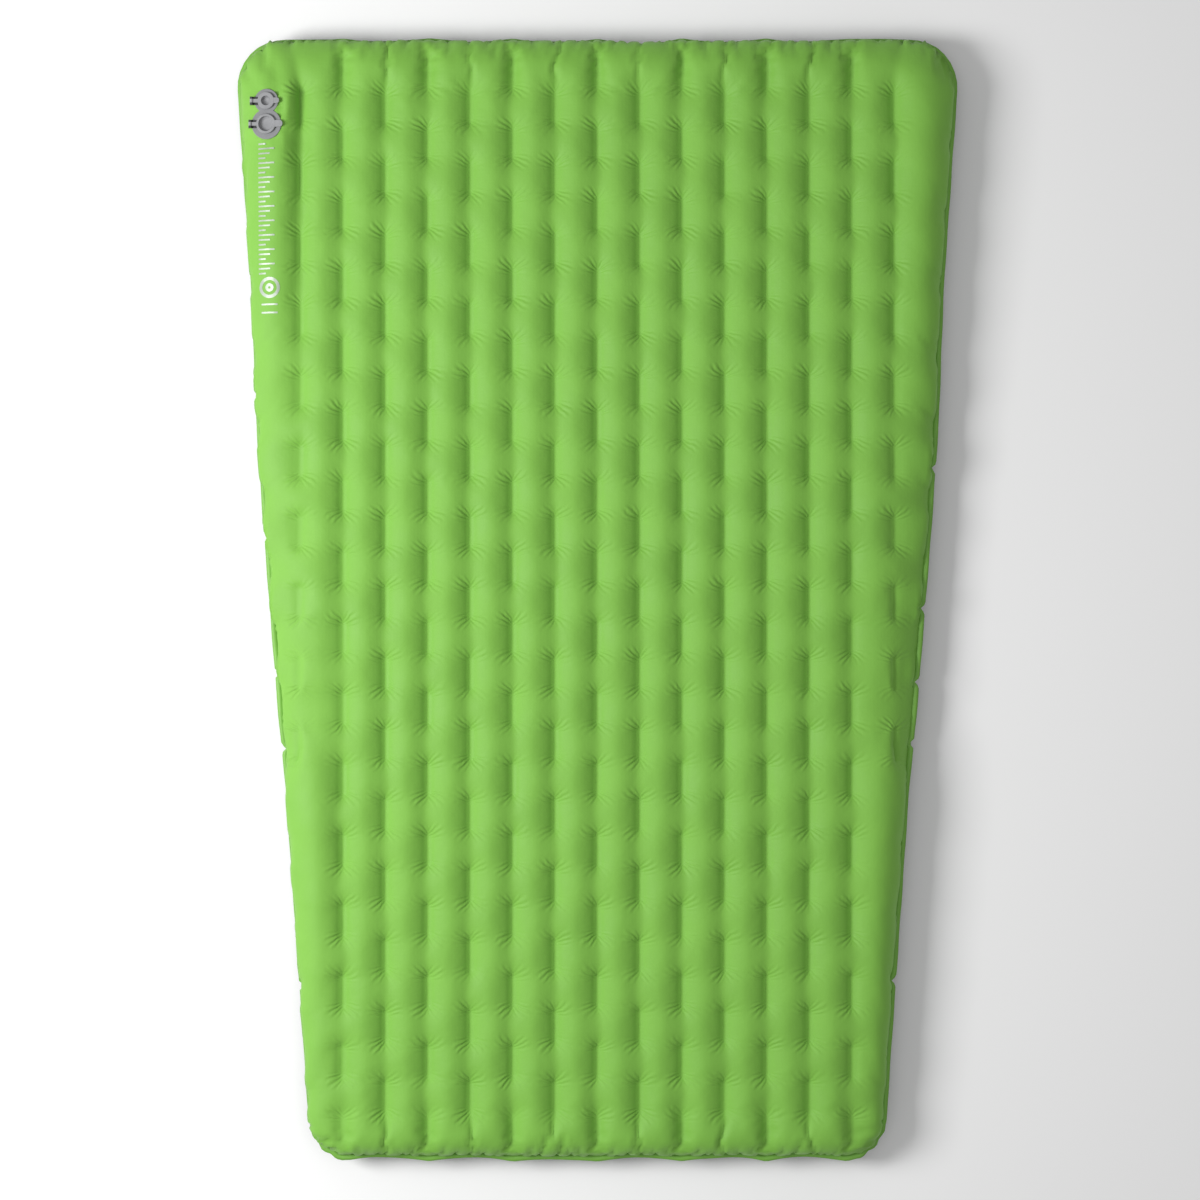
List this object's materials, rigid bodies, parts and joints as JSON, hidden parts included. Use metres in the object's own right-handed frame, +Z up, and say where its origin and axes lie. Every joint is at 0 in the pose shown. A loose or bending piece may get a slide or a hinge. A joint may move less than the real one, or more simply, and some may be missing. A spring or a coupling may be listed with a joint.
{
  "type": "inflatable sleeping pad",
  "caption": "Wide tapered air sleeping pad with quilted channels, fatter side rails and a two-port flat valve with hinged caps on one rail.",
  "frame": {"origin": "on the floor, under the middle of the pad's bounding box", "axes": "+Y to the head end (the wide one), +Z up, -X to the rail that holds the valve"},
  "size_m": [1.3208, 2.06, 0.1105],
  "materials": {
    "coated_fabric": "woven nylon with a soft sheen",
    "base_fabric": "woven nylon, matt",
    "baffle_film": "coated strip, satin",
    "batting": "fibre batting, matt",
    "foil": "metallised film, bright",
    "valve_moulding": "soft moulded, satin",
    "port_nylon": "moulded, satin",
    "cap_moulding": "soft moulded, satin",
    "silicone": "soft, matt",
    "dark_nylon": "moulded, satin",
    "pin_steel": "drawn wire"
  },
  "bodies": {
    "pad": {"top_shell": "coated_fabric", "bottom_shell": "base_fabric", "baffle_01": "baffle_film", "baffle_02": "baffle_film", "baffle_03": "baffle_film", "baffle_04": "baffle_film", "baffle_05": "baffle_film", "baffle_06": "baffle_film", "baffle_07": "baffle_film", "baffle_08": "baffle_film", "baffle_09": "baffle_film", "baffle_10": "baffle_film", "baffle_11": "baffle_film", "baffle_12": "baffle_film", "baffle_13": "baffle_film", "baffle_14": "baffle_film", "baffle_15": "baffle_film", "insulation_strips": "batting", "reflective_film": "foil", "valve_base": "valve_moulding", "inflation_port": "port_nylon", "deflation_port": "port_nylon", "inflation_hinge_bracket": "dark_nylon", "inflation_hinge_pin": "pin_steel", "deflation_hinge_bracket": "dark_nylon", "deflation_hinge_pin": "pin_steel"},
    "inflation_lid": {"inflation_cap": "cap_moulding", "inflation_cap_seal": "silicone"},
    "deflation_lid": {"deflation_cap": "cap_moulding", "deflation_cap_seal": "silicone"},
    "flap": {"check_flap": "silicone"}
  },
  "joints": [
    {"name": "inflation_cap_hinge", "type": "hinge", "parent": "pad", "child": "inflation_lid", "pos_m": [-0.63101, 0.865, 0.1014], "axis": [0, -1, 0], "range_deg": [0, 150]},
    {"name": "deflation_cap_hinge", "type": "hinge", "parent": "pad", "child": "deflation_lid", "pos_m": [-0.62853, 0.907, 0.10175], "axis": [0, -1, 0], "range_deg": [0, 150]},
    {"name": "check_flap_lift", "type": "slide", "parent": "pad", "child": "flap", "axis": [0.1392, 0, -0.9903], "range_m": [0, 0.0025], "stiffness_N_per_m": 40, "springref_m": -0.001}
  ]
}
